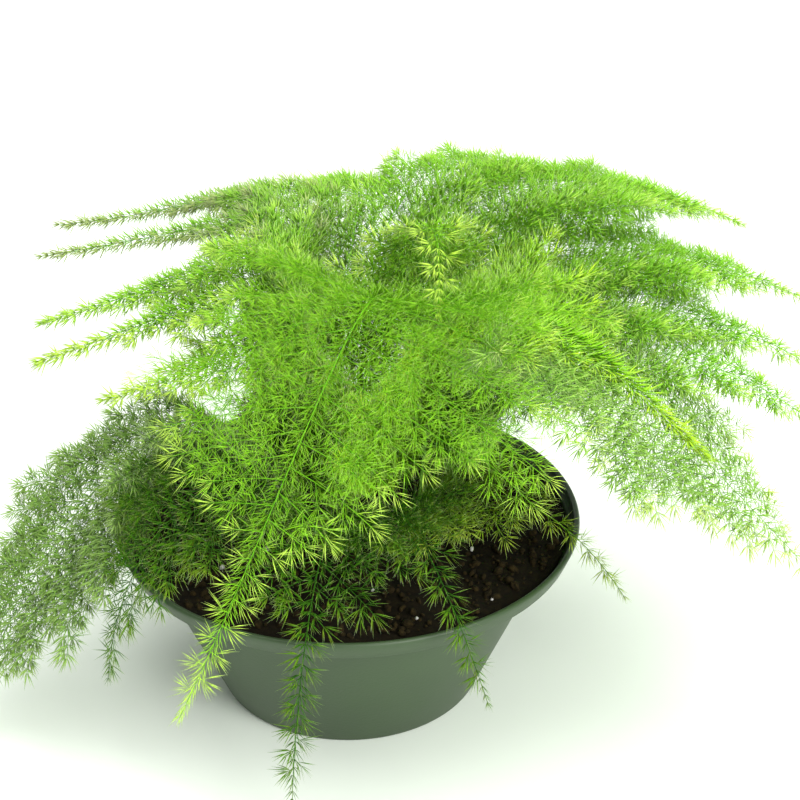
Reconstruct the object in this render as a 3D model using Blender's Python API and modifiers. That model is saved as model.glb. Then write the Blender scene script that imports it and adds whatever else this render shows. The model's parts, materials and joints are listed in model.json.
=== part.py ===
"""A potted asparagus fern: a nursery pot, its soil and twenty feathery fronds.

Metres, +Z up. The origin is the middle of the pot's base, and the plant's front faces -Y.
Each frond is one stem: a slim spine that arches out of the soil, side branches in one plane,
and whorls of needles raised from the faces of both.
"""

import math
import random
from bisect import bisect_right
from collections import namedtuple
from itertools import product

import bmesh
import bpy
import numpy as np
from mathutils import Vector

# The pot: a thin shell with a collar that steps out below the rim
POT_HEIGHT = 0.048
RIM_RADIUS = 0.060
COLLAR_HEIGHT = 0.005
COLLAR_FOOT_RADIUS = 0.0583
WALL_TOP_RADIUS = 0.0520
BASE_RADIUS = 0.0350
WALL = 0.0012
FLOOR_THICKNESS = 0.0016
BASE_CHAMFER = 0.0008
LEDGE_DROP = 0.0010
LIP = 0.0004
DRAIN_HOLES = 5
DRAIN_HOLE_RADIUS = 0.0032
DRAIN_CIRCLE_RADIUS = 0.0220
DRAIN_HOLE_SIDES = 12
ROUND_STEPS = 36
SHARP_ANGLE = 35.0
MERGE_DISTANCE = 0.00001

# The soil, and the holes that the stems stand in
GAP = 0.0003
SOIL_TOP = 0.0452
SOIL_RELIEF = 0.0006
SOIL_RINGS = (0.020, 0.040)
HOLE_DEPTH = 0.0120
HOLE_RADIUS = 0.00156
HOLE_SIDES = 6
CUT_OVERSHOOT = 0.0020

# The mounds on the soil: each wave's share of the relief, and its radians per metre along X and Y
SOIL_WAVES = ((0.3, 150.0, 190.0), (0.3, -150.0, 190.0), (0.4, 310.0, -260.0))

# The stems, branches and needles
STEM_START = 0.0480
STEM_RADIUS = 0.0010
STEM_TIP_RADIUS = 0.0006
BRANCH_RADIUS = 0.00043
BRANCH_TIP_RADIUS = 0.00038
STEM_SIDES = 4
BRANCH_SIDES = 3
STEM_FIRST_RING = 0.0020
STEM_BEND_STEP = 0.016
SPINE_STEPS = 40
HEADING_REACH = 0.0015
NODE_STEP = 0.0100
NODE_LENGTH = 0.0010
WHORL_STEP = 0.0078
WHORL_LENGTH = 0.0008
BRANCH_ROOT = 0.0016
FIRST_WHORL = 0.0062
LAST_WHORL_TO_TIP = 0.0022
SHORTEST_BRANCH = 0.0090
BRANCH_STEPS = 8
BRANCH_BEND_STEP = 0.006
ANGLE_SPREAD = 4.0
LENGTH_SPREAD = (0.90, 1.08)
BRANCH_DROOP = 0.06
BRANCH_CURL = 0.06
DROOP_TRIES = (0.0, 0.14, -0.14, 0.28, -0.28, 0.42)
TURN_TRIES = (0.0, 12.0, -12.0)
LENGTH_TRIES = (1.0, 0.8, 0.6, 0.45)
NEEDLE_LENGTHS = (0.0046, 0.0058)
NEEDLE_LEAN = 48.0
NEEDLE_TRIES = (1.0, 0.8)
TERMINAL_NEEDLE = 0.0042
SEED = 41

# How far apart the pieces of the plant stay, and how clear of the pot and the floor
TUBE_CLEARANCE = 0.0008
NEEDLE_CLEARANCE = 0.00035
NEEDLE_RADIUS = 0.00034
SPINE_CHECK_STEP = 0.004
BRANCH_CHECK_START = 0.0036
BRANCH_CHECK_STEP = 0.003
NEEDLE_CHECKS = (0.34, 0.50, 0.66, 0.83, 1.00)
OWNER_STEP = 100
POT_CLEARANCE = 0.0012
FLOOR_CLEARANCE = 0.0030

UP = Vector((0.0, 0.0, 1.0))

# Colours, and the roughness of each finish
POT_GREEN = (0.08, 0.11, 0.07)
SOIL_BROWN = (0.022, 0.014, 0.009)
BRIGHT = (0.17, 0.42, 0.045)
FRESH = (0.26, 0.50, 0.050)
SHADED = (0.055, 0.16, 0.030)
POT_ROUGHNESS = 0.5
SOIL_ROUGHNESS = 0.95
LEAF_ROUGHNESS = 0.6

# Each frond's spine is a cubic curve from its root, with two handles and the tip. left and right are the
# longest branches on each side, seen from the root with the blade's top up, and spread is the length from
# which they shorten evenly to the blade's end. bare is the share of the spine with no branches, spike is the
# share of the blade with needles alone at its tip, and angles are a branch's degrees from the spine at the
# blade's start and at its end.
Frond = namedtuple("Frond", "name root rise shoulder tip left right spread bare spike angles green")

FRONDS = (
    Frond(
        "front", (0.006, 0.012),
        (0.020, 0.015, 0.163), (-0.004, -0.084, 0.116), (-0.033, -0.096, 0.056),
        0.061, 0.042, 0.101, 0.26, 0.12, (44, 92), FRESH,
    ),
    Frond(
        "crown", (0.015, 0.005),
        (0.017, 0.007, 0.146), (0.024, -0.012, 0.140), (0.022, -0.030, 0.118),
        0.036, 0.036, 0.044, 0.24, 0.12, (64, 54), FRESH,
    ),
    Frond(
        "right_front", (0.014, -0.002),
        (0.017, 0.002, 0.135), (0.052, -0.021, 0.113), (0.085, -0.030, 0.082),
        0.040, 0.042, 0.056, 0.20, 0.07, (60, 44), FRESH,
    ),
    Frond(
        "right_low", (0.018, -0.009),
        (0.021, -0.005, 0.158), (0.070, -0.030, 0.096), (0.117, -0.044, 0.051),
        0.042, 0.046, 0.062, 0.40, 0.08, (60, 46), BRIGHT,
    ),
    Frond(
        "right", (0.021, 0.002),
        (0.025, 0.003, 0.110), (0.092, -0.002, 0.104), (0.124, -0.006, 0.070),
        0.042, 0.042, 0.056, 0.28, 0.07, (60, 42), BRIGHT,
    ),
    Frond(
        "right_back", (0.020, 0.010),
        (0.021, 0.007, 0.120), (0.080, 0.024, 0.106), (0.130, 0.022, 0.074),
        0.042, 0.042, 0.056, 0.28, 0.07, (60, 42), BRIGHT,
    ),
    Frond(
        "far_right", (0.015, 0.018),
        (0.015, 0.014, 0.135), (0.083, 0.052, 0.106), (0.131, 0.048, 0.083),
        0.044, 0.044, 0.058, 0.28, 0.07, (60, 42), BRIGHT,
    ),
    Frond(
        "back_right", (0.009, 0.025),
        (0.010, 0.022, 0.124), (0.042, 0.054, 0.137), (0.113, 0.084, 0.093),
        0.022, 0.046, 0.058, 0.32, 0.06, (60, 44), BRIGHT,
    ),
    Frond(
        "back", (0.002, 0.029),
        (0.005, 0.028, 0.128), (0.008, 0.060, 0.131), (0.076, 0.112, 0.095),
        0.018, 0.032, 0.042, 0.42, 0.12, (62, 48), BRIGHT,
    ),
    Frond(
        "back_left", (-0.006, 0.027),
        (-0.003, 0.026, 0.124), (0.016, 0.060, 0.127), (-0.018, 0.112, 0.090),
        0.028, 0.042, 0.050, 0.22, 0.16, (62, 50), BRIGHT,
    ),
    Frond(
        "left_back", (-0.012, 0.022),
        (-0.008, 0.024, 0.156), (-0.008, 0.062, 0.109), (-0.086, 0.084, 0.093),
        0.028, 0.028, 0.032, 0.28, 0.26, (58, 44), BRIGHT,
    ),
    Frond(
        "left_far", (-0.016, 0.016),
        (-0.012, 0.015, 0.142), (0.000, 0.032, 0.119), (-0.085, 0.052, 0.097),
        0.028, 0.028, 0.032, 0.26, 0.26, (58, 44), BRIGHT,
    ),
    Frond(
        "left", (-0.018, 0.009),
        (-0.012, 0.009, 0.135), (-0.001, 0.011, 0.121), (-0.080, 0.020, 0.092),
        0.032, 0.032, 0.042, 0.24, 0.08, (54, 36), BRIGHT,
    ),
    Frond(
        "left_front", (-0.015, 0.001),
        (-0.009, 0.002, 0.130), (0.000, -0.002, 0.120), (-0.077, -0.002, 0.092),
        0.032, 0.032, 0.042, 0.24, 0.08, (54, 36), FRESH,
    ),
    Frond(
        "left_near", (-0.008, -0.007),
        (-0.005, -0.006, 0.117), (-0.006, -0.019, 0.106), (-0.058, -0.022, 0.092),
        0.034, 0.036, 0.046, 0.20, 0.08, (58, 42), FRESH,
    ),
    Frond(
        "low_left", (-0.023, 0.003),
        (-0.029, 0.004, 0.086), (-0.066, 0.006, 0.076), (-0.097, -0.038, 0.007),
        0.044, 0.036, 0.084, 0.34, 0.06, (64, 54), SHADED,
    ),
    Frond(
        "low_front_left", (-0.009, -0.016),
        (-0.014, -0.020, 0.084), (-0.050, -0.050, 0.088), (-0.058, -0.044, 0.026),
        0.028, 0.028, 0.040, 0.30, 0.15, (64, 54), SHADED,
    ),
    Frond(
        "low_front", (0.000, -0.018),
        (0.000, -0.022, 0.078), (-0.008, -0.080, 0.082), (-0.012, -0.072, 0.010),
        0.028, 0.028, 0.040, 0.28, 0.50, (64, 54), SHADED,
    ),
    Frond(
        "low_front_right", (0.007, -0.018),
        (0.009, -0.022, 0.076), (0.020, -0.066, 0.084), (0.034, -0.064, 0.034),
        0.024, 0.024, 0.032, 0.28, 0.45, (64, 54), SHADED,
    ),
    Frond(
        "low_right", (0.012, -0.016),
        (0.017, -0.018, 0.068), (0.046, -0.026, 0.080), (0.068, -0.038, 0.046),
        0.020, 0.032, 0.048, 0.24, 0.45, (64, 54), SHADED,
    ),
)


class Path:
    """A smooth line through space, read by distance along it."""

    def __init__(self, points):
        self.points = points
        self.marks = [0.0]
        for before, after in zip(points, points[1:]):
            self.marks.append(self.marks[-1] + (after - before).length)
        self.length = self.marks[-1]

    def at(self, distance):
        """The point at this distance, or the nearer end."""
        place = min(max(distance, 0.0), self.length)
        last = len(self.marks) - 2
        index = min(bisect_right(self.marks, place) - 1, last)
        span = self.marks[index + 1] - self.marks[index]
        return self.points[index].lerp(self.points[index + 1], (place - self.marks[index]) / span)

    def heading(self, distance):
        """The direction of the line at this distance."""
        return (self.at(distance + HEADING_REACH) - self.at(distance - HEADING_REACH)).normalized()

    def stretches(self, start, end, step):
        """Even distances from start to end, about a step apart."""
        count = max(1, round((end - start) / step))
        return [start + (end - start) * i / count for i in range(count + 1)]


def spine_path(frond):
    """The middle line of a stem: straight up through the soil, then a cubic curve to the tip."""
    start = Vector((*frond.root, STEM_START))
    rise, shoulder, tip = Vector(frond.rise), Vector(frond.shoulder), Vector(frond.tip)
    foot = Vector((*frond.root, SOIL_TOP - HOLE_DEPTH + GAP))
    points = [foot]
    for i in range(SPINE_STEPS + 1):
        t = i / SPINE_STEPS
        s = 1.0 - t
        points.append(s**3 * start + 3 * s * s * t * rise + 3 * s * t * t * shoulder + t**3 * tip)
    return Path(points)


def frond_side(frond):
    """The level direction across a frond's blade, to the right of the way it grows."""
    way = Vector((frond.tip[0] - frond.root[0], frond.tip[1] - frond.root[1], 0.0))
    return way.cross(UP).normalized()


def cross_axes(heading, side):
    """The two directions across a tube: to its side, and up through its top."""
    across = (side - heading * side.dot(heading)).normalized()
    return across, across.cross(heading)


def in_pot_or_floor(point):
    """True where a piece of the plant would touch the pot, the soil or the table."""
    radius = math.hypot(point.x, point.y)
    if point.z < FLOOR_CLEARANCE:
        return True
    if point.z > POT_HEIGHT + POT_CLEARANCE or radius > RIM_RADIUS + POT_CLEARANCE:
        return False
    over_soil = point.z > SOIL_TOP + SOIL_RELIEF + POT_CLEARANCE
    return not (over_soil and radius < RIM_RADIUS - WALL - POT_CLEARANCE)


class Room:
    """The stretches of tube and needle placed so far, to keep new ones clear of them."""

    def __init__(self):
        self.starts = np.zeros((0, 3))
        self.spans = np.zeros((0, 3))
        self.radii = np.zeros(0)
        self.owners = np.zeros(0, int)

    def take(self, points, radius, owner):
        """Adds the stretches between these points."""
        places = np.array([tuple(p) for p in points])
        count = len(places) - 1
        self.starts = np.vstack([self.starts, places[:-1]])
        self.spans = np.vstack([self.spans, places[1:] - places[:-1]])
        self.radii = np.concatenate([self.radii, np.full(count, radius)])
        self.owners = np.concatenate([self.owners, np.full(count, owner)])

    def gap(self, points, radius, owner):
        """The least gap from these points, grown to a radius, to the stretches of any other owner."""
        other = self.owners != owner
        if not other.any():
            return 1.0
        starts, spans = self.starts[other], self.spans[other]
        offsets = np.array([tuple(p) for p in points])[:, None, :] - starts[None]
        squares = np.maximum((spans * spans).sum(1), 1e-12)
        shares = np.clip((offsets * spans).sum(2) / squares, 0.0, 1.0)
        away = np.linalg.norm(offsets - shares[..., None] * spans, axis=2)
        return float((away - self.radii[other]).min()) - radius


# A side branch: its number, where it leaves the spine, its side (1 is right), its line and its top
Branch = namedtuple("Branch", "owner station turn path up")


def between(ends, share):
    """The value at this share of the way between two."""
    return ends[0] + (ends[1] - ends[0]) * share


def envelope(frond, share, turn):
    """The length of a branch at this share of the blade: a triangle with its root corners cut off."""
    longest = frond.right if turn > 0 else frond.left
    return min(longest, frond.spread * (1.0 - share / (1.0 - frond.spike)))


def branch_path(start, way, length, bend):
    """The line of a side branch: straight out, then bent by this share of its length at the tip."""
    points = []
    for i in range(BRANCH_STEPS + 1):
        t = i / BRANCH_STEPS
        points.append(start + (way * t + bend * (t * t)) * length)
    return Path(points)


def clear_branch(room, start, heading, out, angle, length, owner):
    """The branch nearest to the wanted one that is clear of the pot and of other tubes, or None."""
    if length < SHORTEST_BRANCH:
        return None
    for shrink, lift, turn in product(LENGTH_TRIES, DROOP_TRIES, TURN_TRIES):
        lean = math.radians(angle + turn)
        way = heading * math.cos(lean) + out * math.sin(lean)
        bend = heading * BRANCH_CURL - UP * (BRANCH_DROOP + lift)
        path = branch_path(start, way, length * shrink, bend)
        stations = path.stretches(BRANCH_CHECK_START, path.length, BRANCH_CHECK_STEP)
        checks = [path.at(station) for station in stations]
        if path.length < SHORTEST_BRANCH or any(in_pot_or_floor(p) for p in checks):
            continue
        if room.gap(checks, BRANCH_RADIUS, owner) > TUBE_CLEARANCE:
            return path
    return None


def node_stations(frond, spine):
    """Distances along the spine of the joints that branches grow from, with the last near the tip."""
    start = frond.bare * spine.length
    end = spine.length - 0.5 * NODE_STEP
    return spine.stretches(start, end, NODE_STEP)


def grow_branches(room, owner, frond, spine, draw):
    """Side branches, left and right by turns, each clear of what is already there."""
    side = frond_side(frond)
    stations = node_stations(frond, spine)
    blade = spine.length - stations[0]
    branches = []
    for number, station in enumerate(stations[:-1]):
        turn = 1 if number % 2 else -1
        share = (station - stations[0]) / blade
        heading = spine.heading(station)
        across, top = cross_axes(heading, side)
        angle = between(frond.angles, share) + draw.uniform(-ANGLE_SPREAD, ANGLE_SPREAD)
        length = envelope(frond, share, turn) * draw.uniform(*LENGTH_SPREAD)
        path = clear_branch(room, spine.at(station), heading, across * turn, angle, length, owner)
        if path is None:
            continue
        branch = Branch(owner + number + 1, station, turn, path, top)
        branches.append(branch)
        line = [path.at(d) for d in path.stretches(0.0, path.length, BRANCH_BEND_STEP)]
        room.take(line, BRANCH_RADIUS, branch.owner)
    return branches


def ring(centre, heading, side, radius, sides):
    """A ring's corners, anticlockwise as seen from the tip. Four sides face up, down, left and right."""
    across, top = cross_axes(heading, side)
    first = math.pi / 4 if sides == STEM_SIDES else math.pi / 2
    corners = []
    for i in range(sides):
        angle = first + 2 * math.pi * i / sides
        corners.append(centre - across * (radius * math.cos(angle)) + top * (radius * math.sin(angle)))
    return corners


def draw_out(mesh, face, corners):
    """Extrudes a face to new corners, and gives the new end face and the walls behind it."""
    end = bmesh.ops.extrude_discrete_faces(mesh, faces=[face])["faces"][0]
    if len(end.verts) > len(corners):
        merge_top(mesh, end, corners)
    verts = list(end.verts)
    orders = [corners[k:] + corners[:k] for k in range(len(corners))]
    nearest = min(orders, key=lambda order: sum((v.co - c).length for v, c in zip(verts, order)))
    for vert, corner in zip(verts, nearest):
        vert.co = corner
    walls = [next(f for f in edge.link_faces if f is not end) for edge in end.edges]
    return end, walls


def merge_top(mesh, end, corners):
    """Makes a four-sided end three-sided: the two corners on the side of the ring's top become one."""
    top = corners[0] - sum(corners, Vector()) / len(corners)
    lost, kept = sorted(end.verts, key=lambda v: v.co.dot(top))[-2:]
    bmesh.ops.weld_verts(mesh, targetmap={lost: kept})


def raise_needle(mesh, room, wall, heading, owner, length):
    """Pokes a wall of a short ring out into one needle, if there is room for it."""
    foot = wall.calc_center_median()
    lean = math.radians(NEEDLE_LEAN)
    outward = (wall.normal - heading * wall.normal.dot(heading)).normalized()
    way = heading * math.cos(lean) + outward * math.sin(lean)
    for share in NEEDLE_TRIES:
        tip = foot + way * (length * share)
        checks = [foot.lerp(tip, t) for t in NEEDLE_CHECKS]
        if any(in_pot_or_floor(p) for p in checks):
            continue
        if room.gap(checks, NEEDLE_RADIUS, owner) > NEEDLE_CLEARANCE:
            point = bmesh.ops.poke(mesh, faces=[wall])["verts"][0]
            point.co = tip
            return [foot, tip]
    return None


def whorl(mesh, room, walls, heading, owner, draw):
    """A needle from each of these walls."""
    grown = []
    for wall in walls:
        wall.normal_update()
        needle = raise_needle(mesh, room, wall, heading, owner, draw.uniform(*NEEDLE_LENGTHS))
        if needle:
            grown.append(needle)
    for needle in grown:
        room.take(needle, NEEDLE_RADIUS, owner)


def first_stretch(mesh, spine, side, start, end, radius):
    """A closed box from the foot of a stem to its first ring, and the face at its upper end."""
    verts = bmesh.ops.create_cube(mesh, size=1.0)["verts"]
    order = sorted(verts, key=lambda v: math.atan2(v.co.y, v.co.x))
    low = [v for v in order if v.co.z < 0]
    high = [v for v in order if v.co.z > 0]
    for group, distance in ((low, start), (high, end)):
        corners = ring(spine.at(distance), UP, side, radius, STEM_SIDES)
        for vert, corner in zip(group, corners):
            vert.co = corner
    return next(f for f in high[0].link_faces if all(v in high for v in f.verts))


def build_branch(mesh, room, face, branch, draw):
    """Draws a side wall of the spine out into a branch, with whorls and a pointed tip."""
    path = branch.path
    last = path.length - LAST_WHORL_TO_TIP
    count = max(1, round((last - FIRST_WHORL) / WHORL_STEP) + 1)
    gap = (last - FIRST_WHORL) / max(1, count - 1)
    side = path.heading(0.0).cross(branch.up)
    root_heading = path.heading(BRANCH_ROOT)
    root_ring = ring(path.at(BRANCH_ROOT), root_heading, side, BRANCH_RADIUS, BRANCH_SIDES)
    face, _ = draw_out(mesh, face, root_ring)
    for number in range(count):
        middle = FIRST_WHORL + gap * number
        radius = between((BRANCH_RADIUS, BRANCH_TIP_RADIUS), middle / path.length)
        heading = path.heading(middle)
        before, after = middle - WHORL_LENGTH / 2, middle + WHORL_LENGTH / 2
        face, _ = draw_out(mesh, face, ring(path.at(before), heading, side, radius, BRANCH_SIDES))
        face, walls = draw_out(mesh, face, ring(path.at(after), heading, side, radius, BRANCH_SIDES))
        whorl(mesh, room, walls, heading, branch.owner, draw)
    point = bmesh.ops.poke(mesh, faces=[face])["verts"][0]
    point.co += heading * TERMINAL_NEEDLE


def build_spine(mesh, room, frond, spine, branches, owner, draw):
    """The stem: a short ring at each joint, with a branch from one wall and needles from the rest."""
    side = frond_side(frond)
    stations = node_stations(frond, spine)
    by_station = {branch.station: branch for branch in branches}
    first_ring = HOLE_DEPTH + STEM_FIRST_RING
    face = first_stretch(mesh, spine, side, 0.0, first_ring, STEM_RADIUS)
    bends = spine.stretches(first_ring, stations[0] - STEM_BEND_STEP / 2, STEM_BEND_STEP)
    for distance in bends[1:]:
        radius = between((STEM_RADIUS, STEM_TIP_RADIUS), distance / spine.length)
        corners = ring(spine.at(distance), spine.heading(distance), side, radius, STEM_SIDES)
        face, _ = draw_out(mesh, face, corners)
    shoots = []
    for station in stations:
        radius = between((STEM_RADIUS, STEM_TIP_RADIUS), station / spine.length)
        heading = spine.heading(station)
        before, after = station - NODE_LENGTH / 2, station + NODE_LENGTH / 2
        face, _ = draw_out(mesh, face, ring(spine.at(before), heading, side, radius, STEM_SIDES))
        face, walls = draw_out(mesh, face, ring(spine.at(after), heading, side, radius, STEM_SIDES))
        branch = by_station.get(station)
        if branch:
            out = cross_axes(heading, side)[0] * branch.turn
            wall = max(walls, key=lambda w: w.calc_center_median().dot(out))
            walls = [w for w in walls if w is not wall]
            shoots.append((wall, branch))
        whorl(mesh, room, walls, heading, owner, draw)
    point = bmesh.ops.poke(mesh, faces=[face])["verts"][0]
    point.co += spine.heading(spine.length) * TERMINAL_NEEDLE
    return shoots


def paint(name, colour, roughness):
    """A plain material for one sub-part."""
    material = bpy.data.materials.new(name)
    material.use_nodes = True
    shader = material.node_tree.nodes["Principled BSDF"]
    shader.inputs["Base Color"].default_value = (*colour, 1.0)
    shader.inputs["Roughness"].default_value = roughness
    shader.inputs["Metallic"].default_value = 0.0
    material.diffuse_color = (*colour, 1.0)
    return material


def add_object(name, mesh, collection, material):
    """An object in this collection, made from a bmesh, which is freed."""
    data = bpy.data.meshes.new(name)
    mesh.to_mesh(data)
    mesh.free()
    made = bpy.data.objects.new(name, data)
    collection.objects.link(made)
    made.data.materials.append(material)
    return made


def add_collection(name):
    """A new collection in the scene."""
    collection = bpy.data.collections.new(name)
    bpy.context.scene.collection.children.link(collection)
    return collection


def apply_modifiers(made):
    """Swaps an object's mesh for the one that its modifiers make."""
    depsgraph = bpy.context.evaluated_depsgraph_get()
    mesh = bpy.data.meshes.new_from_object(made.evaluated_get(depsgraph))
    made.modifiers.clear()
    made.data = mesh


def turned(name, profile, collection, material):
    """A body turned from a profile of radius and height pairs, which runs down its outer side."""
    mesh = bmesh.new()
    verts = [mesh.verts.new((radius, 0.0, height)) for radius, height in profile]
    for before, after in zip(verts, verts[1:]):
        mesh.edges.new((before, after))
    made = add_object(name, mesh, collection, material)
    screw = made.modifiers.new("Turn", "SCREW")
    screw.steps = ROUND_STEPS
    screw.render_steps = ROUND_STEPS
    screw.use_merge_vertices = True
    screw.merge_threshold = MERGE_DISTANCE
    screw.use_normal_calculate = False
    apply_modifiers(made)
    made.data.shade_smooth()
    made.data.set_sharp_from_angle(angle=math.radians(SHARP_ANGLE))
    return made


def cutters(name, places, radius, low, high, sides):
    """Upright cylinders that cut holes, in a collection of their own."""
    collection = add_collection(name)
    for number, (x, y) in enumerate(places):
        bpy.ops.mesh.primitive_cylinder_add(
            vertices=sides, radius=radius, depth=high - low, location=(x, y, (low + high) / 2)
        )
        made = bpy.context.object
        made.name = f"{name}_{number}"
        for other in list(made.users_collection):
            other.objects.unlink(made)
        collection.objects.link(made)
        made.hide_render = True
        made.display_type = "WIRE"
    return collection


def cut(target, collection):
    """Takes the collection's bodies out of the target."""
    boolean = target.modifiers.new("Cut", "BOOLEAN")
    boolean.operation = "DIFFERENCE"
    boolean.operand_type = "COLLECTION"
    boolean.collection = collection
    boolean.solver = "EXACT"


def outer_wall():
    """The pot's outer side, from the rim down to the base, as radius and height pairs."""
    collar_foot = POT_HEIGHT - COLLAR_HEIGHT
    slope = (WALL_TOP_RADIUS - BASE_RADIUS) / (collar_foot - LEDGE_DROP)
    return [
        (RIM_RADIUS - LIP, POT_HEIGHT),
        (RIM_RADIUS, POT_HEIGHT - LIP),
        (COLLAR_FOOT_RADIUS, collar_foot),
        (WALL_TOP_RADIUS, collar_foot - LEDGE_DROP),
        (BASE_RADIUS + BASE_CHAMFER * slope, BASE_CHAMFER),
        (BASE_RADIUS - BASE_CHAMFER, 0.0),
        (0.0, 0.0),
    ]


def inner_wall():
    """The pot's inner side, from the middle of the floor up to the rim."""
    collar_foot = POT_HEIGHT - COLLAR_HEIGHT
    return [
        (0.0, FLOOR_THICKNESS),
        (BASE_RADIUS - WALL, FLOOR_THICKNESS),
        (WALL_TOP_RADIUS - WALL, collar_foot - LEDGE_DROP + WALL),
        (COLLAR_FOOT_RADIUS - WALL, collar_foot + WALL),
        (RIM_RADIUS - LIP - WALL, POT_HEIGHT),
    ]


def build_pot(collection):
    """The pot: one thin moulded shell, with drain holes through its floor."""
    material = paint("pot_plastic", POT_GREEN, POT_ROUGHNESS)
    pot = turned("pot", inner_wall() + outer_wall(), collection, material)
    angles = [2 * math.pi * (i + 0.5) / DRAIN_HOLES for i in range(DRAIN_HOLES)]
    places = [(DRAIN_CIRCLE_RADIUS * math.cos(a), DRAIN_CIRCLE_RADIUS * math.sin(a)) for a in angles]
    top = FLOOR_THICKNESS + CUT_OVERSHOOT
    cut(pot, cutters("drain_cutters", places, DRAIN_HOLE_RADIUS, -CUT_OVERSHOOT, top, DRAIN_HOLE_SIDES))


def soil_profile():
    """The soil's outline inside the pot, from the middle of its top down to the middle of its foot."""
    floor, wall_top, collar_foot, rim = inner_wall()[1:]
    rise = (SOIL_TOP - collar_foot[1]) / (rim[1] - collar_foot[1])
    edge = between((collar_foot[0], rim[0]), rise) - GAP
    return [
        (0.0, SOIL_TOP),
        *[(radius, SOIL_TOP) for radius in SOIL_RINGS],
        (edge, SOIL_TOP),
        (collar_foot[0] - GAP, collar_foot[1] + GAP),
        (wall_top[0] - GAP, wall_top[1] + GAP),
        (floor[0] - GAP, floor[1] + GAP),
        (0.0, floor[1] + GAP),
    ]


def roughen(mesh):
    """Gives the top of the soil low mounds, by a sum of waves that dies out at its edge."""
    for vert in mesh.vertices:
        x, y, z = vert.co
        if z > SOIL_TOP - GAP:
            wave = sum(share * math.sin(along * x + across * y) for share, along, across in SOIL_WAVES)
            fade = 1.0 - (math.hypot(x, y) / RIM_RADIUS) ** 4
            vert.co.z += SOIL_RELIEF * wave * fade


def build_soil(collection):
    """The soil: one body that fills the pot, with a plain hole for each stem."""
    soil = turned("soil", soil_profile(), collection, paint("potting_soil", SOIL_BROWN, SOIL_ROUGHNESS))
    roughen(soil.data)
    places = [frond.root for frond in FRONDS]
    top = SOIL_TOP + CUT_OVERSHOOT
    cut(soil, cutters("stem_cutters", places, HOLE_RADIUS, SOIL_TOP - HOLE_DEPTH, top, HOLE_SIDES))


def build_fronds(collection):
    """All stems first, then all branches, then the meshes with their needles, so that each stays clear."""
    draw = random.Random(SEED)
    room = Room()
    spines = [spine_path(frond) for frond in FRONDS]
    owners = [OWNER_STEP * index for index in range(len(FRONDS))]
    for owner, spine in zip(owners, spines):
        stations = spine.stretches(0.0, spine.length, SPINE_CHECK_STEP)
        room.take([spine.at(station) for station in stations], STEM_RADIUS, owner)
    branches = [grow_branches(room, *each, draw) for each in zip(owners, FRONDS, spines)]
    for owner, frond, spine, own in zip(owners, FRONDS, spines, branches):
        mesh = bmesh.new()
        shoots = build_spine(mesh, room, frond, spine, own, owner, draw)
        for wall, branch in shoots:
            build_branch(mesh, room, wall, branch, draw)
        material = paint("leaf_" + frond.name, frond.green, LEAF_ROUGHNESS)
        add_object("frond_" + frond.name, mesh, collection, material)


def clear_scene():
    """Removes what the scene starts with."""
    for thing in list(bpy.data.objects):
        bpy.data.objects.remove(thing)


def main():
    """Builds the whole plant in one collection, with the cutters in two others."""
    clear_scene()
    collection = add_collection("potted_asparagus_fern")
    build_pot(collection)
    build_soil(collection)
    build_fronds(collection)


main()
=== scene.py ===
"""The looks of a potted asparagus fern: twenty fine fronds, rough soil and a moulded nursery pot.

Metres and +Z up. Every frond is grown in the same way: a stem that arches out of the soil, side branches
in one flat blade, twigs along both sides of each branch, and whorls of needles on all three.
"""

import json
import math
from collections import namedtuple

import bmesh
import bpy
import numpy as np
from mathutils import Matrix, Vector

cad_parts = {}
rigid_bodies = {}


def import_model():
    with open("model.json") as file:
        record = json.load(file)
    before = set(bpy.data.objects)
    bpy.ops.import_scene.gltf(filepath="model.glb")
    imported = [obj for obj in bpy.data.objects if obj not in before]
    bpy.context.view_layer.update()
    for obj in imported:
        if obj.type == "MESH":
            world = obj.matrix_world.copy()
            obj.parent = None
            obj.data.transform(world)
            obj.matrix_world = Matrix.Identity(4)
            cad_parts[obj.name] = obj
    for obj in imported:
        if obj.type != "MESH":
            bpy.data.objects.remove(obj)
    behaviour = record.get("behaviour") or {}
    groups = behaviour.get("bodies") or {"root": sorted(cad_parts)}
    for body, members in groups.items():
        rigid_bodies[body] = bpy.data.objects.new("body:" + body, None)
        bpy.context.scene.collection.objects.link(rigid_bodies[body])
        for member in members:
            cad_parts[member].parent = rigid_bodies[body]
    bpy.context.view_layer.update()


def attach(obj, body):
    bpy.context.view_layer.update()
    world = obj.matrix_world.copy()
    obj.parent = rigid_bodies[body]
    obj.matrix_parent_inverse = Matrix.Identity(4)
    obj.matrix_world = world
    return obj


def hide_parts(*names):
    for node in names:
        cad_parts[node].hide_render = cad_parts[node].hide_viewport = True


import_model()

# The camera, fitted to the pot's rim and base in the photograph's 800 pixels
CAMERA_PLACE = (0.0134, -0.400, 0.294)
CAMERA_PITCH = math.radians(28.1)
FOCAL_PIXELS = 1801.0
PHOTO_PIXELS = 800.0
SENSOR = 36.0
NEAREST_SEEN = 0.01

# The surface that the pot stands on, and the pale room round it
FLOOR_SIZE = 8.0
FLOOR_COLOUR = (0.84, 0.89, 0.82)
FLOOR_ROUGHNESS = 0.7
ROOM_COLOUR = (0.96, 1.0, 0.97)
ROOM_STRENGTH = 0.62

# Soft square lights: place, the point that each faces, the square's side, and watts
SoftLight = namedtuple("SoftLight", "name place target size power")
SOFT_LIGHTS = (
    SoftLight("overhead", (0.0, 0.05, 1.30), (0.0, 0.05, 0.0), 1.3, 22.0),
    SoftLight("front", (0.65, -0.85, 0.75), (0.0, 0.0, 0.06), 0.6, 15.5),
)
LIGHT_COLOUR = (1.0, 1.0, 0.98)

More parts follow.
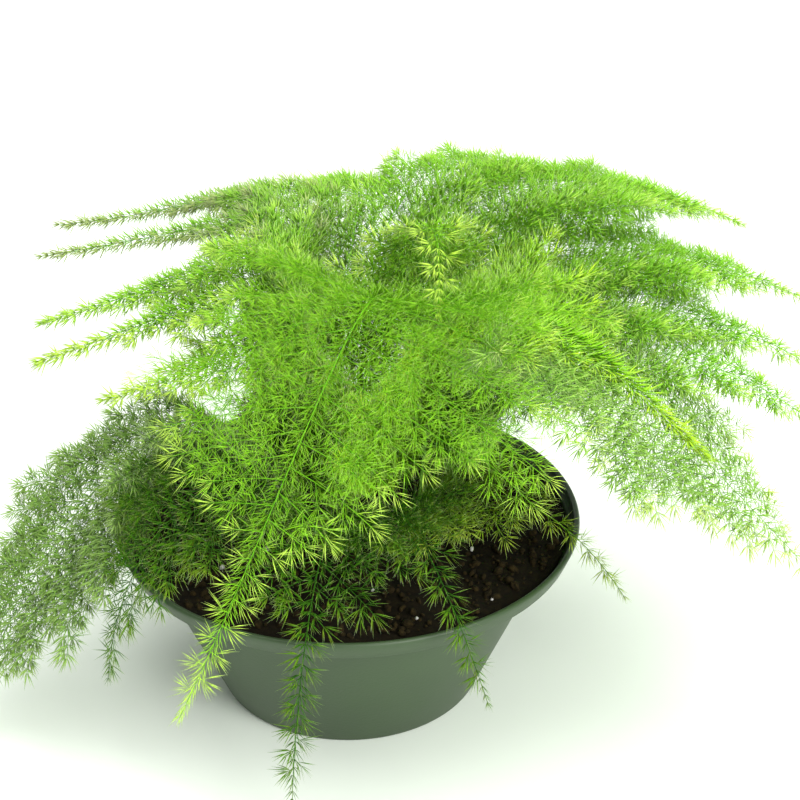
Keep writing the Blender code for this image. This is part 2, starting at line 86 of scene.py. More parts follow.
# The pot: a thin turned shell with a collar that steps out below the rim
POT_HEIGHT = 0.048
RIM_RADIUS = 0.060
WALL = 0.0012
COLLAR_HEIGHT = 0.005
COLLAR_FOOT_RADIUS = 0.0583
WALL_TOP_RADIUS = 0.0520
BASE_RADIUS = 0.0350
FLOOR_THICKNESS = 0.0016
LEDGE_DROP = 0.0010
POT_STEPS = 144
SHARP_ANGLE = 40.0

# The pot's rounded corners: how far the wall leans out, in degrees, how much the lip's radius is over half
# the wall, and the radii of the other rounds
WALL_LEAN = 22.0
LIP_ROLL = 0.0002
FLOOR_ROUND = 0.0020
LEDGE_ROUND = 0.0016
STEP_ROUND = 0.0014
BASE_ROUND = 0.0012

# The drain holes in the pot's floor
DRAIN_HOLES = 5
DRAIN_HOLE_RADIUS = 0.0032
DRAIN_HOLE_SIDES = 32
DRAIN_CIRCLE_RADIUS = 0.0220
DRAIN_CUT_DEPTH = 0.01

# The soil: a top of fine rings whose relief fades out at the edge, and a skirt down inside the pot
SOIL_TOP = 0.0452
SOIL_EDGE = 0.0566
SOIL_RINGS = 64
SOIL_STEPS = 200
SOIL_SKIRT = ((SOIL_EDGE, SOIL_TOP - 0.0012), (0.0503, 0.0415), (0.0345, 0.0022))
SOIL_DARK = (0.0022, 0.0016, 0.0006)
SOIL_LIGHT = (0.015, 0.010, 0.003)
SOIL_GRAIN = 420.0
RELIEF_FADE = 8
RELIEF_SEED = 7

# The relief's waves, a few of each size in all directions: radians in a metre, and height
WAVE_SIZES = ((90.0, 0.0003), (210.0, 0.0002), (520.0, 0.00011), (1100.0, 0.00006))
WAVES_OF_A_SIZE = 5

# Loose lumps in the top of the soil: their number, sizes, height against width, colours, the scale of
# their grain, and the seed of their places
Lumps = namedtuple("Lumps", "name material count sizes flatness dark light grain seed")
CRUMBS = Lumps(
    "soil_crumbs", "bark_crumbs", 1500, (0.0004, 0.0016), 0.8,
    (0.004, 0.0030, 0.001), (0.045, 0.030, 0.008), 700.0, 3,
)
PERLITE = Lumps(
    "perlite", "perlite", 9, (0.0006, 0.0013), 0.9,
    (0.55, 0.54, 0.50), (0.80, 0.80, 0.77), 1500.0, 5,
)

# A lump's random factors, on each of its three sides and at each of its corners, how far its middle lies
# over the soil as a share of its size, and how far it stays from the soil's edge
LUMP_STRETCHES = (0.55, 1.25)
LUMP_BUMPS = (0.75, 1.15)
LUMP_RISE = 0.25
LUMP_MARGIN = 0.0022

# The stems: the heights of the foot in the soil and of the curve's start, the radius at the foot, at the
# first branch and at the tip, the spans of the curve, and the reach on both sides in which its direction
# is taken
STEM_FOOT = 0.0335
STEM_START = 0.0480
STEM_RADII = (0.00062, 0.00018, 0.00008)
STEM_SPANS = 60
STEM_RINGS = 48
STEM_SIDES = 8
HEADING_REACH = 0.0015

# The side branches. Droop and curl are how far they bend down and forwards, as shares of their length. The
# radii are at their foot and at their end. Lengths, droops and curls are the least and the most of a random
# factor, the tilt is how far a branch may rise out of the blade's plane, and SPIKE_BRANCH is the longest
# branch in the spike at a blade's tip.
BRANCH_STEP = 0.0031
BRANCH_DROOP = 0.06
BRANCH_CURL = 0.06
BRANCH_RADII = (0.00011, 0.00007)
BRANCH_RINGS = 8
BRANCH_SIDES = 4
BRANCH_ANGLE_SPREAD = 6.0
BRANCH_TILT = 0.10
BRANCH_LENGTHS = (0.68, 1.12)
BRANCH_DROOPS = (0.6, 1.5)
BRANCH_CURLS = (0.4, 1.6)
SHORTEST_BRANCH = 0.0010
SPIKE_BRANCH = 0.0032
LAST_BRANCH_TO_TIP = 0.002

# The twigs along the branches: the bare lengths at a branch's foot and end, and a twig's random place in
# its step. The limit of its length is TWIG_LAST at the branch's end and grows inwards by TWIG_GROWTH.
TWIG_START = 0.0022
TWIG_END = 0.0015
TWIG_PLACES = (0.3, 0.7)
TWIG_ANGLE = 52.0
TWIG_ANGLE_SPREAD = 9.0
TWIG_TILT = 0.35
TWIG_LAST = 0.0012
TWIG_GROWTH = 0.42
TWIG_LENGTHS = (0.75, 1.1)
TWIG_SHORTEST = 0.0022
TWIG_CURL = 0.12
TWIG_DROOP = 0.06
TWIG_RADII = (0.00010, 0.00007)
TWIG_RINGS = 3
TWIG_SIDES = 3

# How far a tube's pointed ends reach past its rings, in radii
TUBE_TIP = 3.0
TUBE_FOOT = 0.5

# The needles of a whorl. A whorl on a branch or twig is flattened to the blade's plane, and one on a stem
# is round. Leans are degrees from the line that the whorl stands on, far from its tip and at its tip.
# STEM_SHORTENING is the share that a stem's needles lose towards its tip, and WHORL_PLACE is a whorl's place
# in its step. A needle steeper than STEEP has its sides taken from the X axis in place of the Z axis.
BRANCH_FLATNESS = 0.62
STEM_FLATNESS = 1.0
BRANCH_LEANS = (66.0, 40.0)
STEM_LEANS = (64.0, 24.0)
STEM_SHORTENING = 0.35
WHORL_PLACE = 0.55
NEEDLE_TURN_SPREAD = 0.28
NEEDLE_LEAN_SPREAD = 0.16
NEEDLE_LENGTHS = (0.80, 1.12)
NEEDLE_CURVE = 0.10
SPIKE_WIDEST = 0.7
STEEP = 0.8

# The last whorl of a line, a small brush that points forwards
TIP_NEEDLES = 5
TIP_LEAN = 20.0
TIP_NEEDLE_LENGTH = 0.0042

# Youth is 0 in old growth and 1 at a growing tip. It rises along the last stretch of a stem, of a branch for
# its twigs, and of a branch or a twig for its whorls. The needles at a branch's end and at a twig's end are
# at least as young as the last two values.
YOUNG_STEM = 0.034
YOUNG_REACH = 0.009
YOUNG_WHORLS = 0.006
BRANCH_YOUTH = 1.0
TWIG_YOUTH = 0.3

# How far lines and needles stay from the pot, the soil and the surface that the pot stands on, with more
# room inside the wall and over the soil's relief
LINE_CLEARANCE = 0.0025
NEEDLE_CLEARANCE = 0.0004
WALL_MARGIN = 0.0006
RELIEF_ROOM = 0.001

# A line is checked at so many places, from the first share of its length to its end, and one that is
# already too near at the first keeps the least share
TRIM_CHECKS = 19
TRIM_FIRST = 0.1
TRIM_LEAST = 0.05

# The marks that the leaves' material reads on a tube: a share of a needle's length, and a tint
TUBE_ALONG = 0.3
TUBE_TINT = 0.3

# The faces of a needle with three corners round its middle, and of one of four triangles, with the share
# of its length at each corner
SPINDLE_FACES = np.array([(2, 1, 0), (3, 2, 0), (1, 3, 0), (1, 2, 4), (2, 3, 4), (3, 1, 4)])
SPINDLE_ALONG = np.array((0.0, 0.5, 0.5, 0.5, 1.0))
SPIKE_FACES = np.array([(0, 2, 1), (1, 2, 3), (0, 1, 3), (0, 3, 2)])
SPIKE_ALONG = np.array((0.0, 0.35, 0.35, 1.0))

# How dense a frond is: the steps between its twigs, between the whorls on its branches and between those on
# its stem, its longest twig, the number, lengths and radius of the needles in a whorl, and whether those
# are rounded
Habit = namedtuple("Habit", "twig_step whorl_step stem_step twig_longest needles lengths radius rounded")
NEAREST = Habit(0.0036, 0.0023, 0.0012, 0.0064, 8, (0.0044, 0.0058), 0.000075, True)
AIRY = Habit(0.0032, 0.0024, 0.0024, 0.0076, 8, (0.0040, 0.0052), 0.00012, False)
FINE = Habit(0.0029, 0.0023, 0.0022, 0.0086, 9, (0.0040, 0.0054), 0.00014, False)
FULL = Habit(0.0026, 0.0021, 0.0020, 0.0092, 10, (0.0038, 0.0052), 0.00015, False)
PLUME = Habit(0.0027, 0.0020, 0.0009, 0.0084, 10, (0.0052, 0.0068), 0.00018, False)

# The greens of the leaves: old, young and growing tip, and the slot for each tone. Some tones are lit and
# shaded
# copies of the same greens: a lighter copy is a painted highlight, and darker copies are painted shade on
# the low fronds.
Tone = namedtuple("Tone", "old young tip slot")
TONES = {
    # A lighter copy of the fresh greens: a painted highlight on the brightest plume
    "bright": Tone((0.12, 0.37, 0.005), (0.28, 0.66, 0.014), (0.50, 0.86, 0.030), "leaf_fresh"),
    "fresh": Tone((0.06, 0.25, 0.003), (0.19, 0.51, 0.012), (0.47, 0.77, 0.070), "leaf_fresh"),
    "green": Tone((0.08, 0.29, 0.006), (0.21, 0.56, 0.020), (0.38, 0.73, 0.060), "leaf_green"),
    "pale": Tone((0.13, 0.32, 0.035), (0.27, 0.54, 0.070), (0.50, 0.74, 0.140), "leaf_green"),
    "hazy": Tone((0.08, 0.28, 0.008), (0.19, 0.46, 0.030), (0.32, 0.44, 0.130), "leaf_green"),
    "shaded": Tone((0.09, 0.21, 0.032), (0.17, 0.34, 0.055), (0.25, 0.45, 0.085), "leaf_shaded"),
    # Darker copies of the greens: painted shade on the low fronds, the darkest for those down inside the pot
    "olive_painted_shade": Tone((0.05, 0.13, 0.003), (0.12, 0.26, 0.006), (0.26, 0.40, 0.020), "leaf_shaded"),
    "painted_shade_deep": Tone((0.012, 0.060, 0.001), (0.028, 0.115, 0.002), (0.07, 0.20, 0.006), "leaf_shaded"),
}

# Where those greens lie on the scale from old to tip, what a cloudy pattern and a needle's tint add to its
# place on that scale, and how much pale green is mixed in along a needle's length, from foot to tip. The
# paler ends are partly the needles' own colour and partly a painted highlight.
AGES = (0.20, 0.55, 0.80, 1.0)
AGE_CLOUD = 0.5
AGE_TINT = 0.30
PALE_AND_HIGHLIGHT_ALONG = ((0.0, 0.40), (0.12, 0.0), (0.6, 0.0), (1.0, 0.45))
PALE_AND_HIGHLIGHT_GREEN = (0.52, 0.82, 0.17)

UP = np.array((0.0, 0.0, 1.0))
SEED = 41

# Each frond's spine is a cubic curve from its root, with two handles and the tip. left and right are the
# longest branches on each side, and spread is the length from which they shorten evenly to the blade's
# end. bare is the share of the stem with no branches at its foot, spike is the share of the blade at its tip
# where the branches are too short for twigs, angles are a branch's degrees from the stem at the blade's
# start and at its end, tone is its leaves' green, and habit is how dense it is.
Frond = namedtuple("Frond", "name root rise shoulder tip left right spread bare spike angles tone habit")

FRONDS = (
    Frond(
        "front", (0.006, 0.012),
        (0.020, 0.015, 0.163), (-0.004, -0.084, 0.116), (-0.033, -0.096, 0.056),
        0.061, 0.044, 0.114, 0.26, 0.21, (44, 92), "fresh", NEAREST,
    ),
    Frond(
        "crown", (0.015, 0.005),
        (0.017, 0.007, 0.146), (0.024, -0.012, 0.140), (0.022, -0.030, 0.118),
        0.042, 0.036, 0.052, 0.14, 0.10, (64, 54), "fresh", FULL,
    ),
    # This frond wears the lighter copy of the greens, a painted highlight on its plume
    Frond(
        "right_front", (0.014, -0.002),
        (0.017, 0.002, 0.135), (0.052, -0.023, 0.115), (0.085, -0.035, 0.084),
        0.040, 0.042, 0.070, 0.18, 0.24, (60, 44), "bright", PLUME,
    ),
    Frond(
        "right_low", (0.018, -0.009),
        (0.021, -0.005, 0.158), (0.070, -0.030, 0.096), (0.117, -0.044, 0.051),
        0.030, 0.046, 0.062, 0.36, 0.08, (60, 46), "pale", FINE,
    ),
    Frond(
        "right", (0.021, 0.002),
        (0.025, 0.003, 0.110), (0.092, -0.002, 0.104), (0.124, -0.006, 0.070),
        0.042, 0.042, 0.056, 0.20, 0.07, (60, 42), "green", FULL,
    ),
    Frond(
        "right_back", (0.020, 0.010),
        (0.021, 0.007, 0.120), (0.080, 0.024, 0.106), (0.130, 0.022, 0.074),
        0.042, 0.042, 0.056, 0.20, 0.07, (60, 42), "green", FULL,
    ),
    Frond(
        "far_right", (0.015, 0.018),
        (0.015, 0.014, 0.135), (0.083, 0.052, 0.106), (0.131, 0.048, 0.083),
        0.046, 0.044, 0.066, 0.26, 0.06, (60, 42), "green", FULL,
    ),
    Frond(
        "back_right", (0.009, 0.025),
        (0.010, 0.022, 0.124), (0.042, 0.054, 0.137), (0.113, 0.084, 0.093),
        0.022, 0.048, 0.070, 0.26, 0.06, (60, 44), "green", FULL,
    ),
    Frond(
        "back", (0.002, 0.029),
        (0.005, 0.028, 0.128), (0.008, 0.060, 0.131), (0.076, 0.112, 0.095),
        0.018, 0.032, 0.042, 0.30, 0.12, (62, 48), "green", FULL,
    ),
    Frond(
        "back_left", (-0.006, 0.027),
        (-0.003, 0.026, 0.124), (0.016, 0.060, 0.127), (-0.018, 0.112, 0.090),
        0.030, 0.042, 0.050, 0.12, 0.16, (62, 50), "green", FULL,
    ),
    Frond(
        "left_back", (-0.012, 0.022),
        (-0.008, 0.024, 0.156), (-0.008, 0.062, 0.109), (-0.086, 0.084, 0.093),
        0.032, 0.032, 0.036, 0.16, 0.16, (58, 44), "hazy", FULL,
    ),
    Frond(
        "left_far", (-0.016, 0.016),
        (-0.012, 0.015, 0.142), (0.000, 0.032, 0.119), (-0.085, 0.052, 0.097),
        0.032, 0.032, 0.036, 0.14, 0.16, (58, 44), "hazy", FULL,
    ),
    Frond(
        "left", (-0.018, 0.009),
        (-0.012, 0.009, 0.135), (-0.001, 0.011, 0.121), (-0.080, 0.020, 0.092),
        0.032, 0.032, 0.042, 0.16, 0.08, (54, 36), "green", FULL,
    ),
    Frond(
        "left_front", (-0.015, 0.001),
        (-0.009, 0.002, 0.130), (0.000, -0.002, 0.120), (-0.077, -0.002, 0.092),
        0.032, 0.032, 0.042, 0.16, 0.08, (54, 36), "fresh", FULL,
    ),
    Frond(
        "left_near", (-0.008, -0.007),
        (-0.005, -0.006, 0.117), (-0.006, -0.019, 0.106), (-0.058, -0.022, 0.092),
        0.038, 0.036, 0.050, 0.20, 0.08, (58, 42), "fresh", FULL,
    ),
    Frond(
        "low_left", (-0.023, 0.003),
        (-0.029, 0.004, 0.086), (-0.066, 0.006, 0.076), (-0.097, -0.038, 0.007),
        0.044, 0.028, 0.084, 0.12, 0.06, (64, 54), "shaded", FULL,
    ),
    # The four low fronds below wear the darker copies of the greens, painted shade down in and over the pot
    Frond(
        "low_front_left", (-0.009, -0.016),
        (-0.014, -0.020, 0.084), (-0.050, -0.050, 0.088), (-0.058, -0.044, 0.026),
        0.028, 0.028, 0.040, 0.30, 0.15, (64, 54), "painted_shade_deep", AIRY,
    ),
    Frond(
        "low_front", (0.000, -0.018),
        (0.000, -0.022, 0.078), (-0.008, -0.080, 0.082), (-0.012, -0.072, 0.010),
        0.028, 0.028, 0.040, 0.28, 0.50, (64, 54), "painted_shade_deep", AIRY,
    ),
    Frond(
        "low_front_right", (0.007, -0.018),
        (0.009, -0.022, 0.076), (0.020, -0.066, 0.084), (0.034, -0.064, 0.034),
        0.024, 0.024, 0.032, 0.28, 0.45, (64, 54), "painted_shade_deep", AIRY,
    ),
    Frond(
        "low_right", (0.012, -0.016),
        (0.017, -0.018, 0.068), (0.046, -0.026, 0.080), (0.068, -0.038, 0.046),
        0.020, 0.032, 0.048, 0.24, 0.40, (64, 54), "olive_painted_shade", AIRY,
    ),
)

# Whorls, and needles, with one row in each field for each of them
Whorls = namedtuple("Whorls", "roots headings tops leans lengths youth")
Needles = namedtuple("Needles", "starts middles tips tints youth")


def unit(vectors):
    """These vectors at length one."""
    return vectors / np.linalg.norm(vectors, axis=-1, keepdims=True)


def square_to(heading, vectors):
    """The directions of these vectors, leaned over until they are square to the heading."""
    along = np.sum(vectors * heading, axis=-1, keepdims=True)
    return unit(vectors - heading * along)


def between(ends, share):
    """The value at this share of the way between two."""
    return ends[0] + (ends[1] - ends[0]) * share


def placed(counts):
    """For so many things on each line: each thing's line, and its number along that line."""
    rows = np.repeat(np.arange(len(counts)), counts)
    order = np.arange(len(rows)) - np.repeat(np.cumsum(counts) - counts, counts)
    return rows, order


class Lines:
    """Many smooth lines of one order of branch, each bent from a straight way by a vector at its tip.

    All its fields have one row for each line. top is the upper side of the flat blade there.
    """

    def __init__(self, start, way, length, bend, top, youth):
        self.start = start
        self.way = way
        self.length = length
        self.bend = bend
        self.top = top
        self.youth = youth

    def at(self, rows, shares):
        """Points on these rows' lines at these shares of their length."""
        reach = self.length[rows, None]
        shares = shares[:, None]
        return self.start[rows] + self.way[rows] * reach * shares + self.bend[rows] * reach * shares**2

    def heading(self, rows, shares):
        """The directions of the lines there."""
        return unit(self.way[rows] + 2.0 * self.bend[rows] * shares[:, None])

    def kept(self, mask):
        """The lines of this set that the mask keeps."""
        fields = (self.start, self.way, self.length, self.bend, self.top, self.youth)
        return Lines(*[field[mask] for field in fields])


def blocked(points, clearance):
    """True where a point would be in the pot, the soil or the surface that the pot stands on."""
    radius = np.hypot(points[..., 0], points[..., 1])
    height = points[..., 2]
    beside = radius > RIM_RADIUS + clearance
    above = height > POT_HEIGHT + clearance
    over_soil = height > SOIL_TOP + RELIEF_ROOM + clearance
    inside = over_soil & (radius < RIM_RADIUS - WALL - WALL_MARGIN - clearance)
    return (height < clearance) | ~(beside | above | inside)


class Stem:
    """The middle line of one frond, from its foot in the soil to its tip.

    marks are the distances of its points along it, first is the distance of the blade's start, and side is
    the level direction to the right of its way.
    """

    def __init__(self, frond):
        t = np.linspace(0.0, 1.0, STEM_SPANS + 1)[:, None]
        s = 1.0 - t
        start = np.array((*frond.root, STEM_START))
        rise, shoulder, tip = (np.array(point) for point in (frond.rise, frond.shoulder, frond.tip))
        curve = s**3 * start + 3 * s * s * t * rise + 3 * s * t * t * shoulder + t**3 * tip
        foot = np.array((*frond.root, STEM_FOOT))
        self.points = np.vstack([foot, curve])
        spans = np.linalg.norm(np.diff(self.points, axis=0), axis=1)
        self.marks = np.concatenate([[0.0], np.cumsum(spans)])
        self.length = self.marks[-1]
        self.first = frond.bare * self.length
        way = np.array((frond.tip[0] - frond.root[0], frond.tip[1] - frond.root[1], 0.0))
        self.side = unit(np.cross(way, UP))

    def at(self, distances):
        """Points at these distances along the stem."""
        return np.stack([np.interp(distances, self.marks, self.points[:, i]) for i in range(3)], axis=-1)

    def heading(self, distances):
        """The stem's directions there."""
        return unit(self.at(distances + HEADING_REACH) - self.at(distances - HEADING_REACH))

    def axes(self, distances):
        """The blade's right side and its upper side there."""
        heading = self.heading(distances)
        across = square_to(heading, self.side)
        return across, np.cross(across, heading)

    def youth(self, distances):
        """How young the stem is there."""
        return np.clip((distances - self.length) / YOUNG_STEM + 1.0, 0.0, 1.0)


def envelope(frond, share, turn):
    """The lengths of branches at these shares of the blade, on its right where turn is above zero."""
    longest = np.where(turn > 0, frond.right, frond.left)
    triangle = frond.spread * (1.0 - share / (1.0 - frond.spike))
    spike = SPIKE_BRANCH * np.sqrt(np.clip((1.0 - share) / frond.spike, 0.0, 1.0))
    return np.minimum(longest, np.maximum(triangle, spike))


def grow_branches(frond, stem, draw):
    """The side branches of one frond, by turns on its left and its right."""
    count = round((stem.length - stem.first) / BRANCH_STEP)
    share = (np.arange(count) + 0.5) / count
    distances = stem.first + share * (stem.length - stem.first - LAST_BRANCH_TO_TIP)
    turn = np.where(np.arange(count) % 2, 1.0, -1.0)
    heading = stem.heading(distances)
    across, top = stem.axes(distances)
    spread = draw.uniform(-BRANCH_ANGLE_SPREAD, BRANCH_ANGLE_SPREAD, count)
    angles = np.radians(between(frond.angles, share) + spread)[:, None]
    out = across * turn[:, None] + top * draw.uniform(-BRANCH_TILT, BRANCH_TILT, count)[:, None]
    way = heading * np.cos(angles) + unit(out) * np.sin(angles)
    length = envelope(frond, share, turn) * draw.uniform(*BRANCH_LENGTHS, count)
    droop = BRANCH_DROOP * draw.uniform(*BRANCH_DROOPS, count)
    curl = draw.uniform(*BRANCH_CURLS, count)
    bend = heading * BRANCH_CURL * curl[:, None] - UP * droop[:, None]
    lines = Lines(stem.at(distances), way, length, bend, top, stem.youth(distances))
    return trimmed(lines.kept(length > SHORTEST_BRANCH))


def trimmed(lines):
    """The same lines, each cut short before it would run into the pot, the soil or the ground."""
    shares = np.linspace(TRIM_FIRST, 1.0, TRIM_CHECKS)
    rows = np.arange(len(lines.length))
    points = np.stack([lines.at(rows, np.full(len(rows), share)) for share in shares], axis=1)
    hits = blocked(points, LINE_CLEARANCE)
    first = np.where(hits.any(axis=1), hits.argmax(axis=1), len(shares))
    cut = np.concatenate([[TRIM_LEAST], shares])[first]
    lines.bend = lines.bend * cut[:, None]
    lines.length = lines.length * cut
    return lines.kept(lines.length > SHORTEST_BRANCH)


def grow_twigs(branches, habit, draw):
    """Short twigs along both sides of every branch, in the blade's plane."""
    counts = np.maximum(0, ((branches.length - TWIG_START - TWIG_END) / habit.twig_step).astype(int))
    rows, order = placed(counts)
    distances = TWIG_START + (order + draw.uniform(*TWIG_PLACES, len(rows))) * habit.twig_step
    length = branches.length[rows]
    share = distances / length
    heading = branches.heading(rows, share)
    top = square_to(heading, branches.top[rows])
    turn = np.where((order + rows) % 2, 1.0, -1.0)[:, None]
    out = np.cross(heading, top) * turn + top * draw.uniform(-TWIG_TILT, TWIG_TILT, len(rows))[:, None]
    spread = draw.uniform(-TWIG_ANGLE_SPREAD, TWIG_ANGLE_SPREAD, len(rows))
    angle = np.radians(TWIG_ANGLE + spread)[:, None]
    way = heading * np.cos(angle) + unit(out) * np.sin(angle)
    limit = np.minimum(habit.twig_longest, TWIG_LAST + TWIG_GROWTH * (length - distances))
    reach = np.maximum(TWIG_SHORTEST, limit * draw.uniform(*TWIG_LENGTHS, len(rows)))
    bend = heading * TWIG_CURL - UP * TWIG_DROOP
    youth = np.maximum(branches.youth[rows], 1.0 - (length - distances) / YOUNG_REACH)
    return trimmed(Lines(branches.at(rows, share), way, reach, bend, top, youth))


class Shape:
    """Triangles gathered for one mesh, with three values at each corner point: youth, place and tint.

    The place is a share of a needle's length, from its foot.
    """

    def __init__(self):
        self.points = []
        self.faces = []
        self.marks = []
        self.count = 0

    def add(self, points, faces, marks):
        """points is (n, 3), faces is (m, 3) numbers into them, and marks is (n, 3)."""
        self.points.append(points)
        self.faces.append(faces + self.count)
        self.marks.append(marks)
        self.count += len(points)

    def add_copies(self, points, pattern, youth, along, tints):
        """Many bodies with the same faces: points is (bodies, corners, 3), and pattern one body's faces.

        Each body has its youth and tint, and each corner its share along a needle.
        """
        bodies, corners = points.shape[:2]
        faces = (pattern[None] + corners * np.arange(bodies)[:, None, None]).reshape(-1, 3)
        marks = np.empty(points.shape)
        marks[..., 0] = youth[:, None]
        marks[..., 1] = along
        marks[..., 2] = tints[:, None]
        self.add(points.reshape(-1, 3), faces, marks.reshape(-1, 3))

    def make(self, name, material):
        """One object of all these triangles. Its marks are a colour attribute named leaf."""
        points = np.concatenate(self.points)
        faces = np.concatenate(self.faces)
        marks = np.concatenate(self.marks)
        mesh = bpy.data.meshes.new(name)
        mesh.vertices.add(len(points))
        mesh.loops.add(faces.size)
        mesh.polygons.add(len(faces))
        mesh.vertices.foreach_set("co", points.astype(np.float32).ravel())
        mesh.loops.foreach_set("vertex_index", faces.astype(np.int32).ravel())
        mesh.polygons.foreach_set("loop_start", np.arange(0, faces.size, 3, dtype=np.int32))
        mesh.update(calc_edges=True)
        attribute = mesh.color_attributes.new("leaf", "FLOAT_COLOR", "POINT")
        colours = np.column_stack([marks, np.ones(len(marks))])
        attribute.data.foreach_set("color", colours.astype(np.float32).ravel())
        mesh.shade_smooth()
        mesh.validate()
        return link_object(name, mesh, material)


def link_object(name, mesh, material):
    """A new object of this mesh in the scene."""
    made = bpy.data.objects.new(name, mesh)
    mesh.materials.append(material)
    bpy.context.scene.collection.objects.link(made)
    return made


def loft_faces(rings, sides):
    """Triangles that join rings of corners into one closed body.

    The corners are numbered ring by ring. Then come the points that close the last and the first ring.
    """
    ring = np.arange(sides)
    after = (ring + 1) % sides
    faces = []
    for level in range(rings - 1):
        low, high = level * sides, (level + 1) * sides
        faces.append(np.column_stack([low + ring, high + after, low + after]))
        faces.append(np.column_stack([low + ring, high + ring, high + after]))
    last = (rings - 1) * sides
    tip, foot = rings * sides, rings * sides + 1
    faces.append(np.column_stack([last + ring, np.full(sides, tip), last + after]))
    faces.append(np.column_stack([after, np.full(sides, foot), ring]))
    return np.concatenate(faces)


def add_tubes(shape, centres, headings, tops, radii, youth, sides):
    """Pointed tubes: centres and headings are (lines, rings, 3), radii is (lines, rings)."""
    lines, rings = radii.shape
    across = unit(np.cross(headings, tops))
    upper = np.cross(across, headings)
    turn = 2 * math.pi * np.arange(sides) / sides
    cos, sin = np.cos(turn)[:, None], np.sin(turn)[:, None]
    out = across[:, :, None] * cos + upper[:, :, None] * sin
    corners = centres[:, :, None] + radii[:, :, None, None] * out
    tips = centres[:, -1] + headings[:, -1] * radii[:, -1, None] * TUBE_TIP
    feet = centres[:, 0] - headings[:, 0] * radii[:, 0, None] * TUBE_FOOT
    points = np.concatenate([corners.reshape(lines, -1, 3), tips[:, None], feet[:, None]], axis=1)
    shape.add_copies(points, loft_faces(rings, sides), youth, TUBE_ALONG, np.full(lines, TUBE_TINT))


def add_line_tubes(shape, lines, ends, rings, sides):
    """Tubes round all of these lines."""
    count = len(lines.length)
    rows = np.arange(count)
    shares = np.linspace(0.0, 1.0, rings)
    centres = np.stack([lines.at(rows, np.full(count, share)) for share in shares], axis=1)
    headings = np.stack([lines.heading(rows, np.full(count, share)) for share in shares], axis=1)
    tops = np.repeat(lines.top[:, None], rings, axis=1)
    radii = np.repeat(between(ends, shares)[None], count, axis=0)
    add_tubes(shape, centres, headings, tops, radii, lines.youth, sides)


def sides_of(way):
    """Two directions square to each needle's way and to each other."""
    helper = np.where(np.abs(way[:, 2:3]) < STEEP, UP, np.array((1.0, 0.0, 0.0)))
    across = unit(np.cross(helper, way))
    return across, np.cross(way, across)


def add_spindles(shape, radius, needles):
    """Slim closed needles, three-sided and pointed at both ends."""
    across, upper = sides_of(unit(needles.tips - needles.starts))
    points = np.empty((len(across), len(SPINDLE_ALONG), 3))
    points[:, 0] = needles.starts
    for corner in range(3):
        angle = 2 * math.pi * corner / 3
        out = across * math.cos(angle) + upper * math.sin(angle)
        points[:, 1 + corner] = needles.middles + radius * out
    points[:, 4] = needles.tips
    shape.add_copies(points, SPINDLE_FACES, needles.youth, SPINDLE_ALONG, needles.tints)


def add_spikes(shape, radius, needles):
    """Slim closed needles of four triangles, widest at a third of their length."""
    across, upper = sides_of(unit(needles.tips - needles.starts))
    wide = needles.starts + (needles.middles - needles.starts) * SPIKE_WIDEST
    points = np.empty((len(across), len(SPIKE_ALONG), 3))
    points[:, 0] = needles.starts
    points[:, 1] = wide + across * radius
    points[:, 2] = wide + (upper - across) * radius
    points[:, 3] = needles.tips
    shape.add_copies(points, SPIKE_FACES, needles.youth, SPIKE_ALONG, needles.tints)


def add_needles(shape, habit, whorls, number, flatness, draw):
    """So many needles in each whorl, spread round its heading and flattened to the blade's plane.

    Half of a needle's tint is its whorl's, and the other half is its own.
    """
    size = (len(whorls.roots), number)
    across = unit(np.cross(whorls.headings, whorls.tops))[:, None]
    upper = np.cross(across[:, 0], whorls.headings)[:, None]
    turns = (np.arange(number)[None] + draw.uniform(-NEEDLE_TURN_SPREAD, NEEDLE_TURN_SPREAD, size)) / number
    turns = 2 * math.pi * (turns + draw.uniform(0.0, 1.0, (len(whorls.roots), 1)))
    out = unit(across * np.cos(turns)[..., None] + upper * flatness * np.sin(turns)[..., None])
    lean = whorls.leans[:, None] + draw.uniform(-NEEDLE_LEAN_SPREAD, NEEDLE_LEAN_SPREAD, size)
    ways = whorls.headings[:, None] * np.cos(lean)[..., None] + out * np.sin(lean)[..., None]
    ways = ways.reshape(-1, 3)
    reach = (whorls.lengths[:, None] * draw.uniform(*NEEDLE_LENGTHS, size)).reshape(-1, 1)
    tints = draw.uniform(0.0, 1.0, (len(whorls.roots), 1)) * 0.5
    tints = (tints + draw.uniform(0.0, 0.5, size)).ravel()
    youth = np.repeat(whorls.youth, number)
    starts = np.repeat(whorls.roots, number, axis=0)
    forward = np.repeat(whorls.headings, number, axis=0)
    middles = starts + ways * (0.5 * reach)
    tips = starts + ways * reach + forward * (NEEDLE_CURVE * reach)
    clear = ~(blocked(tips, NEEDLE_CLEARANCE) | blocked(middles, NEEDLE_CLEARANCE))
    needles = Needles(*[field[clear] for field in (starts, middles, tips, tints, youth)])
    add = add_spindles if habit.rounded else add_spikes
    add(shape, habit.radius, needles)


